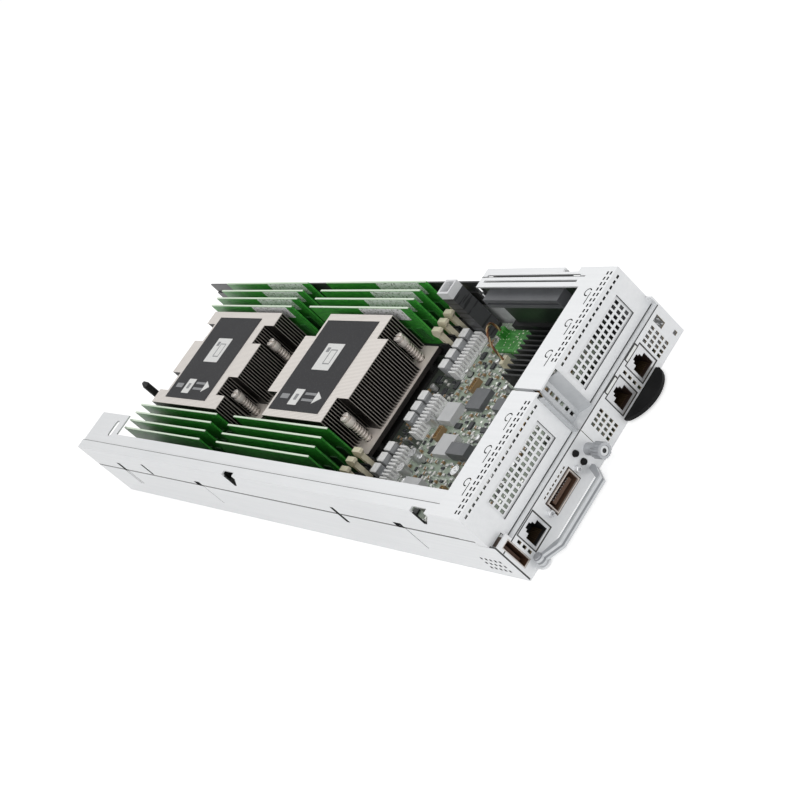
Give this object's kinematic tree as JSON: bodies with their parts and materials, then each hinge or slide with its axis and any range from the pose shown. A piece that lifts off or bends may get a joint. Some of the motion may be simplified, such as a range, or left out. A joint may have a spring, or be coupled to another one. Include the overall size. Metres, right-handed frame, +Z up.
{
  "type": "server node",
  "caption": "Open-top half-width rack server node: sheet-metal tray with finned processor coolers, banks of memory modules, a riser, card cages and a port panel with pull handle.",
  "frame": {"origin": "centre of the tray underside, midway between its side walls and between its port plates and its front edge", "axes": "+Z up, +Y from the port end to the front, +X to the right seen from the port end"},
  "size_m": [0.18, 0.5655, 0.06],
  "materials": {
    "sheet_steel": "zinc-plated sheet, satin",
    "main_board": "pale grey-green solder mask",
    "media_board": "green solder mask",
    "fixings": "plated",
    "socket_plastic": "black moulded",
    "processor_lid": "nickel plated",
    "cooler_base": "machined",
    "cooler_fins": "folded sheet",
    "dark_label": "bare charcoal film",
    "spring_steel": "wire",
    "slot_plastic": "black moulded",
    "module_board": "green solder mask",
    "latch_plastic": "cream moulded",
    "inductor_shell": "light grey moulded",
    "comb_metal": "bright",
    "capacitor_can": "can",
    "chip_plastic": "dark moulded",
    "black_cooler": "black anodised",
    "green_board": "green solder mask",
    "cream_plastic": "cream moulded",
    "wire_skin": "insulation",
    "grey_plastic": "grey moulded",
    "black_plastic": "black moulded",
    "jack_shell": "plated shell",
    "light_pipe": "clear moulded",
    "video_shell": "copper-coloured shell",
    "handle_metal": "satin"
  },
  "bodies": {
    "chassis": {"tray_pan": "sheet_steel", "side_rail_left": "sheet_steel", "side_rail_right": "sheet_steel", "io_plate_left": "sheet_steel", "io_plate_right": "sheet_steel", "riser_cage_left": "sheet_steel", "riser_cage_right": "sheet_steel", "slot_cover_left": "sheet_steel", "slot_cover_right": "sheet_steel", "centre_bracket": "sheet_steel", "tab_guides": "sheet_steel", "motherboard": "main_board", "media_board": "media_board", "standoffs": "fixings", "handle_pin": "fixings", "thumbscrew_sleeve": "fixings", "heatsink_screws": "fixings", "socket_front": "socket_plastic", "socket_rear": "socket_plastic", "processor_front": "processor_lid", "processor_rear": "processor_lid", "heatsink_base_front": "cooler_base", "heatsink_base_rear": "cooler_base", "heatsink_fins_front": "cooler_fins", "heatsink_fins_rear": "cooler_fins", "heatsink_label_front": "dark_label", "heatsink_label_rear": "dark_label", "heatsink_springs": "spring_steel", "memory_slots_left": "slot_plastic", "memory_slots_right": "slot_plastic", "memory_modules_left": "module_board", "memory_modules_right": "module_board", "inductors": "inductor_shell", "transistor_coolers": "comb_metal", "capacitors": "capacitor_can", "chips": "chip_plastic", "chip_cooler": "black_cooler", "daughter_board": "green_board", "riser_card": "green_board", "wire_header": "cream_plastic", "wire_bundle": "wire_skin", "baffle_post": "grey_plastic", "riser_slot": "grey_plastic", "riser_socket": "black_plastic", "midplane_connector": "black_plastic", "button_switches": "black_plastic", "guide_post": "black_plastic", "network_jacks": "jack_shell", "usb_port": "jack_shell", "light_pipes": "light_pipe", "video_port": "video_shell"},
    "handle": {"pull_handle": "handle_metal"},
    "thumbscrew": {"thumbscrew": "fixings"},
    "tab": {"pull_tab": "black_plastic"},
    "upper_button": {"button_upper": "black_plastic"},
    "lower_button": {"button_lower": "black_plastic"},
    "front_left_latches": {"latches_front_left": "latch_plastic"},
    "front_right_latches": {"latches_front_right": "latch_plastic"},
    "rear_left_latches": {"latches_rear_left": "latch_plastic"},
    "rear_right_latches": {"latches_rear_right": "latch_plastic"}
  },
  "joints": [
    {"name": "handle_swing", "type": "hinge", "parent": "chassis", "child": "handle", "pos_m": [-0.078, -0.28, 0.0055], "axis": [0, 0, -1], "range_deg": [0, 70]},
    {"name": "thumbscrew_turn", "type": "hinge", "parent": "chassis", "child": "thumbscrew", "pos_m": [-0.0075, -0.28, 0.014], "axis": [0, -1, 0], "continuous": true},
    {"name": "tab_pull", "type": "slide", "parent": "chassis", "child": "tab", "axis": [0, -1, 0], "range_m": [0, 0.055]},
    {"name": "upper_button_press", "type": "slide", "parent": "chassis", "child": "upper_button", "axis": [0, 1, 0], "range_m": [0, 0.001], "stiffness_N_per_m": 600, "springref_m": -0.001},
    {"name": "lower_button_press", "type": "slide", "parent": "chassis", "child": "lower_button", "axis": [0, 1, 0], "range_m": [0, 0.001], "stiffness_N_per_m": 600, "springref_m": -0.001},
    {"name": "front_left_latch_swing", "type": "hinge", "parent": "chassis", "child": "front_left_latches", "pos_m": [-0.05177, 0.23117, 0.013], "axis": [-1, 0, 0], "range_deg": [0, 35]},
    {"name": "front_right_latch_swing", "type": "hinge", "parent": "chassis", "child": "front_right_latches", "pos_m": [0.07207, 0.23117, 0.013], "axis": [-1, 0, 0], "range_deg": [0, 35]},
    {"name": "rear_left_latch_swing", "type": "hinge", "parent": "chassis", "child": "rear_left_latches", "pos_m": [-0.05177, -0.07418, 0.013], "axis": [1, 0, 0], "range_deg": [0, 35]},
    {"name": "rear_right_latch_swing", "type": "hinge", "parent": "chassis", "child": "rear_right_latches", "pos_m": [0.07207, -0.07418, 0.013], "axis": [1, 0, 0], "range_deg": [0, 35]}
  ]
}
